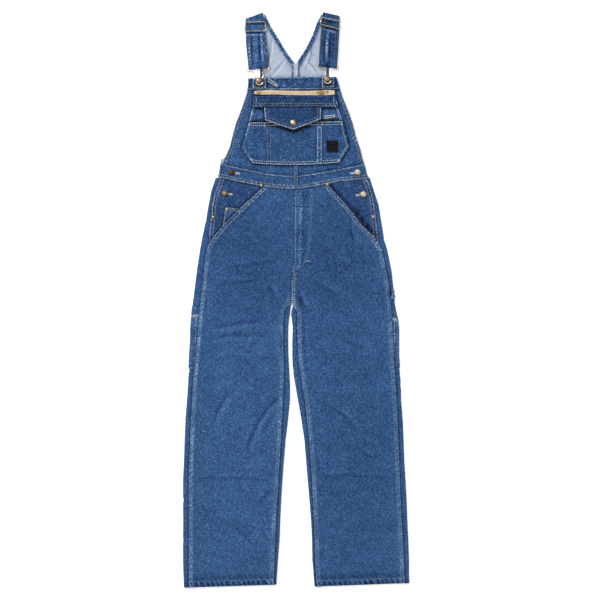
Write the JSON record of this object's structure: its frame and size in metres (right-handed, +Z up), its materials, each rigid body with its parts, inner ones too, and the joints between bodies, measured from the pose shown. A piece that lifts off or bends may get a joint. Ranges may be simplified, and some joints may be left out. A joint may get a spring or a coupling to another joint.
{
  "type": "denim dungarees",
  "caption": "Bib-and-brace denim work trousers laid flat, front up: zipped bib pocket with flap, straps on wire hooks, hand pockets, tool pockets and hammer loop.",
  "frame": {"origin": "middle of the garment's outline, on the surface that it lies on", "axes": "+Y from the leg openings to the straps, +Z up out of the front, +X to the wearer's left"},
  "size_m": [0.5888, 1.4963, 0.0128],
  "materials": {
    "denim": "washed mid-blue twill",
    "denim_inside": "pale inner face of the twill",
    "brass": "satin, slightly aged",
    "bronze": "dark antique",
    "zip_tape": "woven tape",
    "label": "matte"
  },
  "bodies": {
    "garment": {"back_bib_left": "denim_inside", "back_bib_right": "denim_inside", "back_centre_seam": "denim_inside", "back_leg_left": "denim", "back_leg_right": "denim", "bib_button_left": "bronze", "bib_button_right": "bronze", "bib_left": "denim", "bib_pocket_back": "denim", "bib_pocket_front": "denim", "bib_right": "denim", "bib_top_band": "denim", "button_patch_left": "denim", "button_patch_right": "denim", "coin_pocket": "denim", "flap_button": "brass", "fly_placket": "denim", "front_centre_seam": "denim", "front_leg_left": "denim", "front_leg_right": "denim", "hammer_loop": "denim", "hook_left": "brass", "hook_right": "brass", "label": "label", "pocket_divider": "denim", "pocket_facing_left": "denim", "pocket_facing_right": "denim", "pocket_flap": "denim", "rivet_coin_pocket": "brass", "rivet_left_front": "brass", "rivet_left_side": "brass", "rivet_right_front": "brass", "rivet_right_side": "brass", "side_button_left_lower": "bronze", "side_button_left_upper": "bronze", "side_button_right_lower": "bronze", "side_button_right_upper": "bronze", "slide_left": "brass", "slide_right": "brass", "strap_left": "denim", "strap_right": "denim", "tool_pocket_left": "denim", "tool_pocket_right": "denim", "v_hem_left": "denim", "v_hem_right": "denim", "waistband_left": "denim", "waistband_right": "denim", "zip_band": "denim", "zip_slider": "brass", "zip_tape": "zip_tape"},
    "zip_pull": {"zip_pull": "brass"}
  },
  "joints": [
    {"name": "zip_pull_hinge", "type": "hinge", "parent": "garment", "child": "zip_pull", "pos_m": [0.0685, 0.5392, 0.0094], "axis": [0, 1, 0], "range_deg": [0, 165]}
  ]
}
